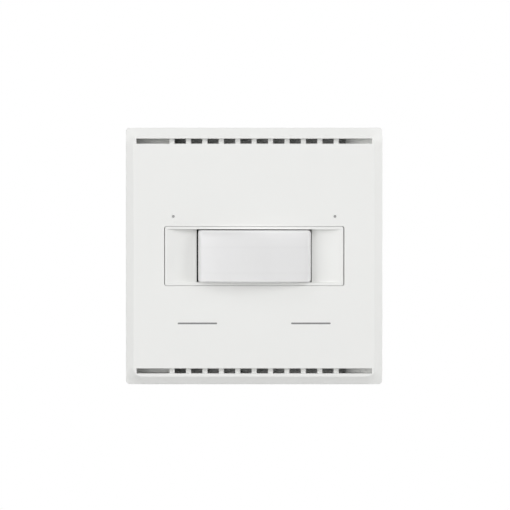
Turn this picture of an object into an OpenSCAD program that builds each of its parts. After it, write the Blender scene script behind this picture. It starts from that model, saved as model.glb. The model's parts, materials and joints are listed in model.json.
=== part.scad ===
// Flush wall motion sensor with two touch fields, for 55 mm switch frames.
// A square cover carries a bezel with a bulged sensor lens, two pilot lights and
// two touch marks. Behind it sit two boards in a rear housing that latches into
// the wall box, with a plug-in bus terminal and a programming button at the back.
// X runs to the right, Z up, and the face looks towards -Y. The origin is the
// middle of the cover's rear rim, which seats on the support plate in the wall.

/* [Cover] */
// Width and height of the square cover
cover_side = 55; // [54:0.5:58]
// Depth of the cover from its rear rim to its face
cover_depth = 9.5; // [9.2:0.1:11]
// Thickness of the face
face_wall = 1.6; // [1.4:0.1:1.8]
// Thickness of the side walls
side_wall = 1.5; // [1.2:0.1:1.7]
// Radius of the four upright corners
cover_corner = 0.8; // [0.4:0.1:1.2]
// Radius of the face's corners inside the bevel
face_corner = 1.8; // [1:0.1:2]
// Width of the bevel round the face
bevel_width = 1.7; // [1.2:0.1:1.9]
// Depth of the bevel round the face
bevel_depth = 1; // [0.6:0.1:1.2]
// How far the bevel is hollowed between its edges
bevel_hollow = 0.06; // [0.03:0.01:0.08]
// Diameter of the four screw bosses behind the face
boss_diameter = 5.2; // [4.8:0.1:5.6]
// Distance from the side walls to the middle of a screw boss
boss_inset = 5.5; // [5.2:0.1:5.8]

/* [Vents] */
// Height of the vent slots
vent_height = 1.1; // [0.8:0.1:1.2]
// Distance from the cover's edge to the middle line of a row of slots
vent_inset = 2.9; // [2.7:0.1:3]
// Distance from the cover's edge to the end of a row of slots
vent_margin = 2.3; // [2.2:0.1:3]
// Number of short slots in a row
vent_count = 10; // [6:2:10]
// Length of a short slot
vent_slot = 2.42; // [2:0.02:2.6]
// Width of the sunk bars between the slots
vent_bar = 1.1; // [0.8:0.1:1.3]
// Depth of the sunk bars below the face
vent_bar_drop = 1.1; // [0.4:0.1:1.2]
// Length of the open part of the long slots on the right
vent_end_open = 1.6; // [1.5:0.1:3.5]
// Depth at the far end of the long slots on the right, whose floor rises
vent_end_depth = 2.2; // [2:0.1:2.8]
// Wall round the closed long slots behind the face
vent_pocket_wall = 0.7; // [0.6:0.1:0.9]

/* [Bezel] */
// Width of the bezel in the face
bezel_width = 38.2; // [37:0.2:40]
// Height of the bezel in the face
bezel_height = 12.6; // [12.2:0.1:13.2]
// Radius of the bezel's corners
bezel_corner = 0.4; // [0.3:0.1:0.8]
// Gap at the left and right of the bezel in its opening
bezel_side_gap = 0.17; // [0.05:0.01:0.25]
// Gap above and below the bezel in its opening
bezel_top_gap = 0.06; // [0.04:0.01:0.15]
// How far the bezel settles to the left in its opening
bezel_settle = 0.02; // [0:0.01:0.04]
// Reach of the bezel's lip behind the face
bezel_lip = 0.8; // [0.6:0.1:0.9]
// Thickness of the bezel's lip
bezel_lip_thickness = 1; // [0.8:0.1:1.4]
// Width of the flat rim between the sloping recesses and the ends of the bezel
scoop_rim = 0.4; // [0.3:0.1:1.4]
// Depth of the sloping recess at the lens
scoop_drop = 1.8; // [1.2:0.1:2.2]
// Depth of the lens well behind the underside of the face
well_depth = 2.2; // [2:0.1:2.6]
// Wall of the lens well at its left and right
well_wall = 1.6; // [1.4:0.1:2]

/* [Lens] */
// Width of the lens
lens_width = 24.2; // [22:0.2:25]
// Height of the lens
lens_height = 11.1; // [10.4:0.1:11.2]
// How far the middle of the lens stands out from the face
lens_rise = 2.6; // [2:0.1:3.5]
// Radius of the broad front curve
lens_curve = 45; // [38:1:70]
// Radius of the rounded left and right sides
lens_shoulder = 2; // [1.6:0.1:2.4]
// Thickness of the lens
lens_wall = 0.6; // [0.5:0.05:0.8]
// Width of the flange behind the bezel
lens_flange = 0.8; // [0.6:0.1:1]
// Thickness of that flange
lens_flange_thickness = 0.5; // [0.4:0.1:1]
// Thickness of the dark seal between that flange and the bezel
seal_thickness = 0.3; // [0.2:0.05:0.5]
// Clearance at the left and right of the lens
lens_side_gap = 0.25; // [0.15:0.01:0.3]
// Clearance above the lens
lens_top_gap = 0.23; // [0.12:0.01:0.25]
// Clearance below the lens
lens_bottom_gap = 0.05; // [0.03:0.01:0.2]
// How far the lens settles to the right in its clearance
lens_settle_side = 0.08; // [0:0.01:0.11]
// How far the lens lies below the middle of the bezel
lens_settle_down = 0.03; // [0:0.01:0.1]
// Height of the upper line between rows of lens segments above the middle
row_upper = 1.9; // [1:0.1:3]
// Depth of the lower line between rows of lens segments below the middle
row_lower = 3.6; // [2.5:0.1:4]
// Number of lens segments in each row
segment_count = 5; // [3:1:6]
// Width of the grooves between the lens segments
segment_groove = 0.2; // [0.1:0.05:0.3]
// Depth of those grooves
segment_groove_depth = 0.15; // [0.1:0.05:0.25]
// Distance between the rings of a lens segment
ring_pitch = 0.5; // [0.4:0.05:0.8]
// Width of a ring's groove
ring_groove = 0.14; // [0.1:0.02:0.2]
// Depth of a ring's groove at the edge of a segment
ring_depth = 0.1; // [0.06:0.02:0.16]

/* [Pilot lights and touch marks] */
// Distance of the pilot lights from the ends of the bezel
pilot_inset = 1.8; // [1.2:0.1:3.2]
// Height of the pilot lights above the bezel
pilot_rise = 2.2; // [2.1:0.1:3.7]
// Diameter of a pilot light in the face
pilot_diameter = 0.5; // [0.4:0.1:0.8]
// Diameter of a light guide behind the face
guide_head = 2; // [1.6:0.1:2.2]
// Distance from the cover's sides to the middle of a touch mark
mark_inset = 15.35; // [14.5:0.05:16.5]
// Height of the touch marks above the cover's lower edge
mark_rise = 13.1; // [11.5:0.1:13.5]
// Length of a touch mark
mark_length = 8.4; // [6:0.1:10]
// Width of a touch mark
mark_width = 0.3; // [0.2:0.05:0.5]
// Depth of a touch mark's groove
mark_depth = 0.2; // [0.1:0.05:0.3]
// Width of a touch pad behind the face
pad_width = 10; // [8:0.5:11]
// Height of a touch pad behind the face
pad_height = 6; // [5:0.5:7]

/* [Boards] */
// Thickness of both circuit boards
board_thickness = 1.2; // [1:0.1:1.6]
// How far the front board reaches over the lens flange inside the lens outline
board_overlap = 1.1; // [0.8:0.1:1.6]
// Number of pins between the boards
header_pins_count = 6; // [4:1:7]
// Spacing of those pins
header_pitch = 2; // [1.8:0.1:2]
// Diameter of those pins
header_pin = 0.6; // [0.5:0.05:0.7]
// Height of the pin strip on the main board
header_height = 2.3; // [2:0.1:3]
// Width of the pin strip and of its socket
header_width = 2.4; // [2.2:0.1:2.8]
// Height of the pin strip above the middle
header_y = 12.4; // [12:0.1:12.6]
// Length of the solder tails behind a board
tail_length = 0.8; // [0.5:0.1:1]

/* [Infrared sensor] */
// Diameter of the sensor can
can_diameter = 8.2; // [7.8:0.1:8.6]
// Height of the sensor can
can_height = 4.2; // [3.8:0.1:4.6]
// Diameter of the rim at the foot of the can
can_rim = 9.2; // [8.8:0.1:9.6]
// Height of that rim
can_rim_height = 0.5; // [0.4:0.1:0.8]
// Width of the filter window
filter_width = 4.6; // [4:0.1:5]
// Height of the filter window
filter_height = 3.4; // [3:0.1:4]
// Thickness of the filter window
filter_thickness = 0.4; // [0.3:0.05:0.6]
// Distance from the back of the lens to the can
lens_focus = 9.9; // [9.6:0.1:10.4]
// Height of the spacer under the can
spacer_height = 1; // [0.6:0.1:1.4]
// Radius of the circle of sensor leads
lead_circle = 2.54; // [2.2:0.02:2.8]
// Diameter of a sensor lead
lead_diameter = 0.45; // [0.4:0.05:0.6]

/* [Rear housing] */
// Width and height of the box behind the wall
housing_side = 35; // [34.5:0.1:35.5]
// Depth of the box behind the cover's rear rim
housing_depth = 12.5; // [12:0.1:13]
// Wall of the box
housing_wall = 1.5; // [1.3:0.1:1.6]
// Radius of the upright corners of the box
housing_corner = 2; // [1:0.1:2.5]
// Bevel round the back of the box
housing_bevel = 0.8; // [0.4:0.1:1]
// Thickness of the flange that closes the cover
flange_thickness = 1.5; // [1.3:0.1:1.7]
// Distance of the flange in front of the rear rim
flange_recess = 0.5; // [0.4:0.1:0.7]
// Distance of the ribs above and below the box from the middle
rib_x = 10; // [8:0.5:12]
// Thickness of a rib
rib_thickness = 1; // [0.8:0.1:1.4]
// Reach of a rib along the flange
rib_reach = 3; // [2:0.1:4]
// Length of a rib along the box
rib_length = 5; // [3:0.5:7]
// Diameter of the board posts in the box
peg_post = 3.2; // [2.8:0.1:3.4]
// Diameter of the pegs that locate the main board
peg_diameter = 1.6; // [1.4:0.1:1.8]
// Distance from the board's edge to a peg
peg_inset = 2.2; // [2:0.1:2.4]

/* [Latches] */
// Distance of the latch arms from the middle
latch_x = 20.4; // [20:0.1:21]
// Distance of the latch arms above and below the middle
latch_y = 9; // [7:0.5:11]
// Width of a latch arm
latch_width = 5; // [4:0.5:6]
// Thickness of a latch arm
latch_thickness = 1.4; // [1.2:0.1:1.6]
// Length of a latch arm behind the flange
latch_length = 7; // [6:0.5:8]
// Reach of a latch hook
latch_hook = 0.9; // [0.6:0.1:1.1]
// Thickness of the support plate that the latches hold
plate_grip = 2; // [1.5:0.1:2.5]

/* [Screws] */
// Core diameter of a screw
screw_core = 1.6; // [1.4:0.1:1.8]
// Diameter of a screw head
screw_head = 3.6; // [3.2:0.1:3.8]
// Height of a screw head
screw_head_height = 1.2; // [1:0.1:1.3]
// How far the screw heads lie below the flange
screw_sink = 0.2; // [0.1:0.05:0.3]
// Length of the cross slots in a screw head
screw_slot = 2.2; // [1.8:0.1:2.6]
// Width of the cross slots
screw_slot_width = 0.5; // [0.4:0.05:0.6]
// Depth of the cross slots
screw_slot_depth = 0.7; // [0.5:0.05:0.8]

/* [Bus terminal] */
// Width of one pole of the terminal
pole_width = 5.7; // [5.5:0.05:5.75]
// Spacing of the two bus pins
pin_spacing = 5.75; // [5.75:0.05:6]
// Height of the terminal
terminal_height = 10; // [9.5:0.1:10.5]
// Depth of the terminal along its pins
terminal_depth = 9; // [8.5:0.1:10]
// Diameter of a bus pin
bus_pin = 1; // [0.9:0.05:1.1]
// Length of a bus pin inside the terminal
bus_pin_length = 5.6; // [5:0.1:6]
// Thickness of the strip that holds the bus pins
pin_base_height = 1.5; // [1.2:0.1:1.8]
// Diameter of a wire entry
entry_diameter = 1.2; // [1.2:0.05:1.4]
// Depth of a wire entry
entry_depth = 5.5; // [4.5:0.1:6]
// Sideways spacing of the wire entries of a pole
entry_spacing_x = 2.8; // [2.6:0.05:3]
// Upright spacing of the wire entries of a pole
entry_spacing_y = 5; // [4.6:0.1:5.4]
// Mouth of a wire entry
entry_mouth = 2; // [1.8:0.05:2.2]
// Depth of that mouth
entry_mouth_depth = 0.5; // [0.3:0.1:0.7]
// Width of the test slot between the wire entries
test_slot_width = 0.8; // [0.6:0.1:1]
// Height of that slot
test_slot_height = 2; // [1.6:0.1:2.4]
// Depth of that slot
test_slot_depth = 2; // [1.5:0.1:2.2]
// Wall of the well that guides the terminal
terminal_well_wall = 1; // [0.8:0.1:1.2]

/* [Programming button] */
// Distance of the button and its light from the middle
button_x = 8; // [7.6:0.1:8.4]
// Height of the button and its light above the middle
button_y = 7; // [6.5:0.1:7.5]
// Width of the button's housing
switch_side = 6; // [5.6:0.1:6.4]
// Height of the button's housing
switch_height = 3.1; // [3:0.1:3.4]
// Thickness of the metal plate over it
switch_plate = 0.3; // [0.2:0.05:0.4]
// Diameter of the button
button_diameter = 3.4; // [3:0.1:3.6]
// Diameter of the collar that keeps the button in
button_collar = 4.2; // [4:0.1:4.4]
// Thickness of that collar
button_collar_height = 0.8; // [0.6:0.1:0.9]
// Travel of the button
button_travel = 0.25; // [0.2:0.01:0.3]
// Distance of the button's end below the back of the box
button_recess = 0.5; // [0.3:0.1:1]
// Diameter of the programming light guide
rod_diameter = 2.4; // [2:0.1:3]
// Diameter of its collar
rod_collar = 3.6; // [3.4:0.1:4]
// Thickness of its collar
rod_collar_height = 1; // [0.8:0.1:1.5]

/* [Fits] */
// Clearance of pins, rods and screws in their holes
pin_fit = 0.04; // [0.02:0.01:0.08]
// Clearance of screws in the posts and boards
screw_fit = 0.3; // [0.2:0.05:0.4]
// Clearance of screw heads in their sinks
head_fit = 0.2; // [0.1:0.05:0.25]
// Clearance of the rear housing in the cover and of boards in the housing
board_fit = 0.2; // [0.1:0.05:0.3]
// Clearance of the terminal in its well
terminal_fit = 0.15; // [0.1:0.01:0.25]
// Gap between a light and its guide
light_gap = 0.2; // [0.1:0.05:0.3]
// Clearance of the button in its plate and in the box
button_fit = 0.1; // [0.06:0.01:0.2]
// Gap between the pressed button and the dome under it
dome_gap = 0.2; // [0.1:0.05:0.3]
// Clearance that keeps unrelated pieces apart
free_gap = 0.3; // [0.2:0.05:0.4]

/* [Hidden] */
$fn = 48;

// How far a cut runs past the face that it opens
past = 1;

// Levels in front of the rear rim, from the face backwards
face_z = cover_depth;
under_face_z = face_z - face_wall;
well_z = under_face_z - well_depth;
lens_flange_z = well_z - seal_thickness;
front_board_z = lens_flange_z - lens_flange_thickness;
front_board_back_z = front_board_z - board_thickness;
lens_top_z = face_z + lens_rise;
can_top_z = lens_top_z - lens_wall - lens_focus;
can_foot_z = can_top_z - can_height;
main_board_z = can_foot_z - spacer_height;
main_board_back_z = main_board_z - board_thickness;
flange_front_z = flange_recess + flange_thickness;
head_seat_z = flange_recess + screw_sink + screw_head_height;
box_back_z = -housing_depth;
box_floor_z = box_back_z + housing_wall;
pin_base_z = main_board_back_z - pin_base_height;
terminal_back_z = pin_base_z - terminal_depth;
switch_top_z = main_board_back_z - switch_height;

// Cover and vents
inner_side = cover_side - 2 * side_wall;
screw_pos = inner_side / 2 - boss_inset;
vent_y = cover_side / 2 - vent_inset;
vent_pitch = vent_slot + vent_bar;
vent_row = cover_side - 2 * vent_margin;
vent_end_x = vent_count / 2 * vent_pitch + vent_bar / 2;
crease = cover_side / 2 - bevel_width;
shelf_y = vent_y - vent_height / 2 - vent_pocket_wall;
shelf_z = front_board_back_z + free_gap;
pocket_floor_z = shelf_z + vent_pocket_wall;

// Bezel and lens
opening_width = lens_width + 2 * lens_side_gap;
opening_height = lens_height + lens_top_gap + lens_bottom_gap;
opening_y = (lens_top_gap - lens_bottom_gap) / 2 - lens_settle_down;
scoop_reach = (bezel_width - opening_width) / 2 - scoop_rim;
well_width = opening_width + 2 * well_wall;
lens_inside = lens_height / 2 - lens_wall;
inside_curve = lens_curve - lens_wall;
segment_width = (lens_width - 2 * lens_shoulder) / segment_count;

// Pilot lights above the bezel, and touch marks in the lower part of the face
pilot_x = bezel_width / 2 - pilot_inset;
pilot_y = bezel_height / 2 + pilot_rise;
mark_x = cover_side / 2 - mark_inset;
mark_y = cover_side / 2 - mark_rise;

// Boards
board_side = 2 * (shelf_y - board_fit);
flange_side = inner_side - 2 * board_fit;
box_inside = housing_side - 2 * housing_wall;
box_inner_corner = max(housing_corner - housing_wall, 0.4);
main_board_side = box_inside - 2 * board_fit;
peg_pos = main_board_side / 2 - peg_inset;
header_length = header_pins_count * header_pitch + header_pin;
screw_hole = screw_core + 2 * screw_fit;

// Terminal, against the lower wall of the box
terminal_y = terminal_height / 2 + terminal_fit - box_inside / 2;
terminal_half = pin_spacing / 2 + pole_width / 2;
well_half = terminal_half + terminal_fit;
well_top = terminal_y + terminal_height / 2 + terminal_fit;
sleeve_wall = 0.4;
sleeve_diameter = bus_pin + 2 * pin_fit + 2 * sleeve_wall;
sleeve_hole = sleeve_diameter + 2 * pin_fit;

// Inside of the push switch
switch_floor = 0.8;
dome_sheet = 0.12;
dome_rise = switch_height - switch_floor - button_collar_height - button_travel - dome_gap;

// Small surface-mounted pieces: width, height and thickness
led_size = [1.6, 0.8, 0.6];
touch_chip_size = [4, 4, 0.9];
temperature_size = [2.5, 2.5, 0.8];
brightness_size = [2, 2, 0.7];
controller_size = [7, 7, 1.2];
transceiver_size = [5, 6, 1.4];
capacitor_base = [5, 5, 0.6];
capacitor_diameter = 4.6;
capacitor_height = 4.6;
chip_x = 9.4;
chip_y = 6.8;
capacitor_x = 10.4;
chip_lead_reach = 1;
chip_lead_width = 0.3;
chip_lead_thickness = 0.2;
temperature_x = screw_pos - boss_diameter / 2 - temperature_size.x;
temperature_y = temperature_size.y - board_side / 2;
thermal_slot = 0.8;
pad_corner = 1;

// Moves a shape from the flat face frame, with x right, y up and z outwards, to upright
module upright() rotate([90, 0, 0]) children();

module slab(width, height, low, high)
    translate([-width / 2, -height / 2, low]) cube([width, height, high - low]);

module rounded_outline(width, height, radius) {
    square([width - 2 * radius, height], center = true);
    square([width, height - 2 * radius], center = true);
    for (x = [-1, 1], y = [-1, 1])
        translate([x * (width / 2 - radius), y * (height / 2 - radius)]) circle(radius);
}

module rounded_slab(width, height, radius, low, high)
    translate([0, 0, low]) linear_extrude(high - low) rounded_outline(width, height, radius);

module rod(diameter, low, high)
    translate([0, 0, low]) cylinder(d = diameter, h = high - low);

module both_sides(x) for (side = [-1, 1]) translate([side * x, 0, 0]) children();

module four_corners(x, y)
    for (i = [-1, 1], j = [-1, 1]) translate([i * x, j * y, 0]) children();

// A profile drawn in x and z, run along y
module along_y(length) rotate([90, 0, 0]) linear_extrude(length, center = true) children();

// A profile drawn in y and z, run along x
module along_x(length) rotate([90, 0, 90]) linear_extrude(length, center = true) children();

// Cover

// Side view of a square block whose far end has a bevel
module bevelled_profile(side, low, high, width, depth) {
    half = side / 2;
    polygon([
        [-half, low], [half, low], [half, high - depth], [half - width, high],
        [width - half, high], [-half, high - depth]
    ]);
}

module bevelled_block(side, corner, low, high, width, depth)
    intersection() {
        rounded_slab(side, side, corner, low, high);
        along_x(side) bevelled_profile(side, low, high, width, depth);
        along_y(side) bevelled_profile(side, low, high, width, depth);
    }

// What the bevel takes off, seen along the edge: x runs outwards from the crease, and y up
// from the face. The arc through the crease and the outer edge runs on to clear the corners.
module bevel_section() {
    chord = norm([bevel_width, bevel_depth]);
    radius = chord * chord / (8 * bevel_hollow) + bevel_hollow / 2;
    crease_slope = atan(bevel_depth / bevel_width) + asin(chord / 2 / radius);
    intersection() {
        translate(radius * [sin(crease_slope), cos(crease_slope)]) circle(radius, $fn = 360);
        translate([-past, -radius]) square([past + bevel_width + face_corner, radius + past]);
    }
}

// The bevel runs straight along four sides and round the four corners of the face
module bevel_cut()
    for (turn = [0, 90, 180, 270]) rotate([0, 0, turn]) {
        straight = crease - face_corner;
        translate([0, crease, face_z]) along_x(2 * straight) bevel_section();
        translate([straight, straight, face_z]) rotate_extrude(angle = 90)
            translate([face_corner, 0]) bevel_section();
    }

module span(start, end, bottom, top, low, high)
    translate([start, bottom, low]) cube([end - start, top - bottom, high - low]);

// Shelves in two corners of the cover, behind the closed parts of a row's long slots
module corner_shelves() {
    into_wall = inner_side / 2 + side_wall / 2;
    span(vent_end_x + vent_end_open, into_wall, shelf_y, into_wall,
        shelf_z, face_z - face_wall / 2);
    span(-into_wall, vent_pocket_wall - vent_end_x, shelf_y, into_wall,
        shelf_z, face_z - face_wall / 2);
}

module vent_cuts() {
    slab(vent_row, vent_height, face_z - vent_bar_drop, face_z + past);
    for (i = [0 : vent_count - 1])
        translate([(i - (vent_count - 1) / 2) * vent_pitch, 0, 0])
            slab(vent_slot, vent_height, under_face_z - past, face_z);
    span(-vent_row / 2, -vent_end_x, -vent_height / 2, vent_height / 2, pocket_floor_z, face_z);
    along_y(vent_height) polygon([
        [vent_end_x, face_z], [vent_end_x, pocket_floor_z],
        [vent_end_x + vent_end_open, pocket_floor_z],
        [vent_row / 2, face_z - vent_end_depth], [vent_row / 2, face_z]
    ]);
}

module touch_mark_groove()
    translate([0, 0, face_z - mark_depth]) linear_extrude(mark_depth + past) {
        square([mark_length - mark_width, mark_width], center = true);
        both_sides((mark_length - mark_width) / 2) circle(mark_width / 2);
    }

module front_cover()
    color("whitesmoke") upright() difference() {
        union() {
            difference() {
                rounded_slab(cover_side, cover_side, cover_corner, 0, face_z);
                slab(inner_side, inner_side, -past, under_face_z);
            }
            four_corners(screw_pos, screw_pos)
                rod(boss_diameter, front_board_z, face_z - face_wall / 2);
            for (row = [0, 1]) mirror([0, row, 0]) corner_shelves();
        }
        bevel_cut();
        translate([bezel_settle, 0, 0])
            rounded_slab(bezel_width + 2 * bezel_side_gap, bezel_height + 2 * bezel_top_gap,
                bezel_corner + bezel_top_gap, under_face_z - past, face_z + past);
        for (row = [-1, 1]) translate([0, row * vent_y, 0]) vent_cuts();
        translate([0, pilot_y, 0]) both_sides(pilot_x)
            rod(pilot_diameter + 2 * pin_fit, under_face_z - past, face_z + past);
        translate([0, -mark_y, 0]) both_sides(mark_x) touch_mark_groove();
        four_corners(screw_pos, screw_pos)
            rod(screw_core + 2 * pin_fit, front_board_z - past, under_face_z);
    }

// Bezel with the two sloping recesses beside the lens

module scoop_cut() {
    inner = opening_width / 2;
    slope = scoop_drop / scoop_reach;
    along_y(opening_height) polygon([
        [inner + scoop_reach + past, face_z + past * slope],
        [inner - past, face_z - scoop_drop - past * slope],
        [inner - past, face_z + past]
    ]);
}

module lens_bezel()
    color("white") upright() difference() {
        union() {
            rounded_slab(bezel_width, bezel_height, bezel_corner,
                under_face_z - bezel_lip_thickness, face_z);
            slab(bezel_width + 2 * bezel_lip, bezel_height + 2 * bezel_lip,
                under_face_z - bezel_lip_thickness, under_face_z);
            slab(well_width, bezel_height, well_z, under_face_z);
        }
        translate([0, opening_y, 0]) {
            slab(opening_width, opening_height, well_z - past, face_z + past);
            scoop_cut();
            mirror([1, 0, 0]) scoop_cut();
        }
    }

// Lens: a broad front curve that runs into rounded shoulders and straight sides.
// The shoulder circles touch the broad curve from inside.
module arch_outline(width, top, curve, shoulder, foot) {
    shoulder_x = width / 2 - shoulder;
    centre_z = top - curve;
    shoulder_z = centre_z + sqrt(pow(curve - shoulder, 2) - pow(shoulder_x, 2));
    touch_x = shoulder_x * curve / (curve - shoulder);
    intersection() {
        translate([0, centre_z]) circle(curve, $fn = 360);
        translate([-touch_x, foot]) square([2 * touch_x, top - foot]);
    }
    both_sides(shoulder_x) translate([0, shoulder_z]) circle(shoulder);
    translate([-width / 2, foot]) square([width, shoulder_z - foot]);
}

// Turns a shape about the middle of the broad curve, to stand in column i of the segments
module at_segment(i)
    translate([0, 0, lens_top_z - lens_curve])
        rotate([0, asin((i - segment_count / 2) * segment_width / inside_curve), 0]) children();

// Rings of one lens segment, as many as its width and the height of its row can hold
module segment_rings(bottom, top) {
    reach = min(segment_width, top - bottom) / 2 - segment_groove;
    for (r = [ring_pitch : ring_pitch : reach])
        translate([0, (bottom + top) / 2, 0]) difference() {
            rod(2 * r, inside_curve - past, inside_curve + ring_depth);
            rod(2 * (r - ring_groove), inside_curve - 2 * past, inside_curve + past);
        }
}

// Grooves on the inside of the lens that part its segments
module segment_grooves() {
    centre_z = lens_top_z - lens_curve;
    groove_ring = inside_curve + segment_groove_depth;
    for (y = [row_upper, -row_lower])
        translate([0, y, 0]) intersection() {
            translate([0, 0, centre_z]) rotate([90, 0, 0])
                cylinder(r = groove_ring, h = segment_groove, center = true, $fn = 360);
            slab(lens_width - 2 * lens_shoulder, segment_groove, face_z, lens_top_z);
        }
    for (i = [1 : segment_count - 1]) at_segment(i)
        slab(segment_groove, 2 * lens_inside, inside_curve - past, groove_ring);
    for (i = [0 : segment_count - 1]) at_segment(i + 1 / 2) {
        segment_rings(row_upper, lens_inside);
        segment_rings(-row_lower, row_upper);
        segment_rings(-lens_inside, -row_lower);
    }
}

// Moves what lies in the bezel's opening to where the lens settles
module settled() translate([lens_settle_side, -lens_settle_down, 0]) children();

module lens_seal()
    color("black") upright() settled() difference() {
        slab(lens_width + 2 * lens_flange, lens_height + 2 * lens_flange, lens_flange_z, well_z);
        slab(lens_width + 2 * pin_fit, lens_height + 2 * pin_fit,
            lens_flange_z - past, well_z + past);
    }

module fresnel_lens()
    color("ghostwhite") upright() settled() difference() {
        union() {
            along_y(lens_height)
                arch_outline(lens_width, lens_top_z, lens_curve, lens_shoulder, front_board_z);
            slab(lens_width + 2 * lens_flange, lens_height + 2 * lens_flange,
                front_board_z, lens_flange_z);
        }
        along_y(2 * lens_inside)
            arch_outline(lens_width - 2 * lens_wall, lens_top_z - lens_wall,
                lens_curve - lens_wall, lens_shoulder - lens_wall, front_board_z - past);
        segment_grooves();
    }

// Pilot lights and touch pads behind the face

module pilot_light_guides()
    color("lightgray") upright() translate([0, pilot_y, 0]) both_sides(pilot_x) {
        rod(pilot_diameter, under_face_z, face_z);
        rod(guide_head, front_board_z + led_size.z + light_gap, under_face_z);
    }

module touch_pads()
    color("dimgray") upright() translate([0, -mark_y, 0]) both_sides(mark_x)
        rounded_slab(pad_width, pad_height, pad_corner, front_board_z, under_face_z);

// A flat component that stands on a board: level is the board face, and side is 1 in
// front of the board and -1 behind it
module component(size, x, y, level, side)
    translate([x, y, level]) translate([-size.x / 2, -size.y / 2, side > 0 ? 0 : -size.z])
        cube(size);

// Side view of a chip's lead: out of the body at half height, down and along the board
module lead_outline(edge, height) {
    bend = edge + chip_lead_reach / 2;
    polygon([
        [edge - chip_lead_thickness, height / 2], [bend, height / 2],
        [bend, chip_lead_thickness], [edge + chip_lead_reach, chip_lead_thickness],
        [edge + chip_lead_reach, 0], [bend - chip_lead_thickness, 0],
        [bend - chip_lead_thickness, height / 2 - chip_lead_thickness],
        [edge - chip_lead_thickness, height / 2 - chip_lead_thickness]
    ]);
}

// A chip with a row of bent leads on two or four sides
module leaded_chip(size, x, y, lead_count, lead_sides) {
    lead_pitch = (size.x - chip_lead_reach) / (lead_count - 1);
    component(size, x, y, main_board_z, 1);
    translate([x, y, main_board_z]) for (turn = lead_sides, i = [0 : lead_count - 1])
        rotate([0, 0, turn]) translate([(i - (lead_count - 1) / 2) * lead_pitch, 0, 0])
            along_x(chip_lead_width) lead_outline(size.y / 2, size.z);
}

// Front board: lights, touch chip and temperature sensor

module header_row(diameter, low, high)
    for (i = [0 : header_pins_count - 1])
        translate([(i - (header_pins_count - 1) / 2) * header_pitch, header_y, 0])
            rod(diameter, low, high);

module front_board()
    color("darkgreen") upright() difference() {
        slab(board_side, board_side, front_board_back_z, front_board_z);
        slab(lens_width - 2 * board_overlap, lens_height - 2 * board_overlap,
            front_board_back_z - past, front_board_z + past);
        four_corners(screw_pos, screw_pos)
            rod(screw_hole, front_board_back_z - past, front_board_z + past);
        translate([temperature_x - temperature_size.x, temperature_y, 0])
            slab(thermal_slot, 2 * temperature_size.y + past,
                front_board_back_z - past, front_board_z + past);
    }

module pilot_leds()
    color("lemonchiffon") upright() for (side = [-1, 1])
        component(led_size, side * pilot_x, pilot_y, front_board_z, 1);

module touch_controller()
    color("black") upright()
        component(touch_chip_size, mark_x, -mark_y, front_board_back_z, -1);

module temperature_sensor()
    color("silver") upright()
        component(temperature_size, temperature_x, temperature_y, front_board_z, 1);

module board_socket()
    color("black") upright() difference() {
        translate([0, header_y, 0])
            slab(header_length, header_width, main_board_z + header_height, front_board_back_z);
        header_row(header_pin + 2 * pin_fit, main_board_z, front_board_back_z - tail_length);
    }

// Main board: infrared sensor, chips, capacitors, bus pins and programming button

module main_board()
    color("darkgreen") upright() difference() {
        rounded_slab(main_board_side, main_board_side, box_inner_corner,
            main_board_back_z, main_board_z);
        header_row(header_pin + 2 * pin_fit, main_board_back_z - past, main_board_z + past);
        lead_rods(lead_diameter + 2 * pin_fit, main_board_back_z - past, main_board_z + past);
        bus_pin_rods(bus_pin + 2 * pin_fit, main_board_back_z - past, main_board_z + past);
        four_corners(peg_pos, peg_pos)
            rod(peg_diameter + 2 * pin_fit, main_board_back_z - past, main_board_z + past);
    }

module board_header()
    color("black") upright() difference() {
        translate([0, header_y, 0])
            slab(header_length, header_width, main_board_z, main_board_z + header_height);
        header_row(header_pin + 2 * pin_fit, main_board_z - past,
            main_board_z + header_height + past);
    }

module header_pins()
    color("gold") upright()
        header_row(header_pin, main_board_back_z - tail_length,
            front_board_back_z - 2 * tail_length);

module lead_rods(diameter, low, high)
    for (angle = [0, 90, 180])
        rotate([0, 0, angle]) translate([lead_circle, 0, 0]) rod(diameter, low, high);

module sensor_spacer()
    color("ivory") upright() difference() {
        rod(can_rim, main_board_z, can_foot_z);
        lead_rods(lead_diameter + 2 * pin_fit, main_board_z - past, can_foot_z + past);
    }

module sensor_can()
    color("gold") upright() difference() {
        union() {
            rod(can_rim, can_foot_z, can_foot_z + can_rim_height);
            rod(can_diameter, can_foot_z, can_top_z);
        }
        slab(filter_width + 2 * pin_fit, filter_height + 2 * pin_fit,
            can_top_z - filter_thickness, can_top_z + past);
    }

module sensor_filter()
    color("darkslategray") upright()
        slab(filter_width, filter_height, can_top_z - filter_thickness, can_top_z);

module sensor_leads()
    color("silver") upright()
        lead_rods(lead_diameter, main_board_back_z - tail_length, can_foot_z);

module brightness_sensor()
    color("gainsboro") upright()
        component(brightness_size, can_rim / 2 + brightness_size.x, 0, main_board_z, 1);

module microcontroller()
    color("black") upright()
        leaded_chip(controller_size, -chip_x, -chip_y, 8, [0, 90, 180, 270]);

module bus_transceiver()
    color("black") upright()
        leaded_chip(transceiver_size, chip_x, -chip_y, 4, [0, 180]);

module buffer_capacitors()
    color("silver") upright() for (side = [-1, 1]) {
        component(capacitor_base, side * capacitor_x, chip_y, main_board_z, 1);
        translate([side * capacitor_x, chip_y, 0])
            rod(capacitor_diameter, main_board_z + capacitor_base.z / 2,
                main_board_z + capacitor_height);
    }

module bus_pin_rods(diameter, low, high)
    translate([0, terminal_y, 0]) both_sides(pin_spacing / 2) rod(diameter, low, high);

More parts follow.
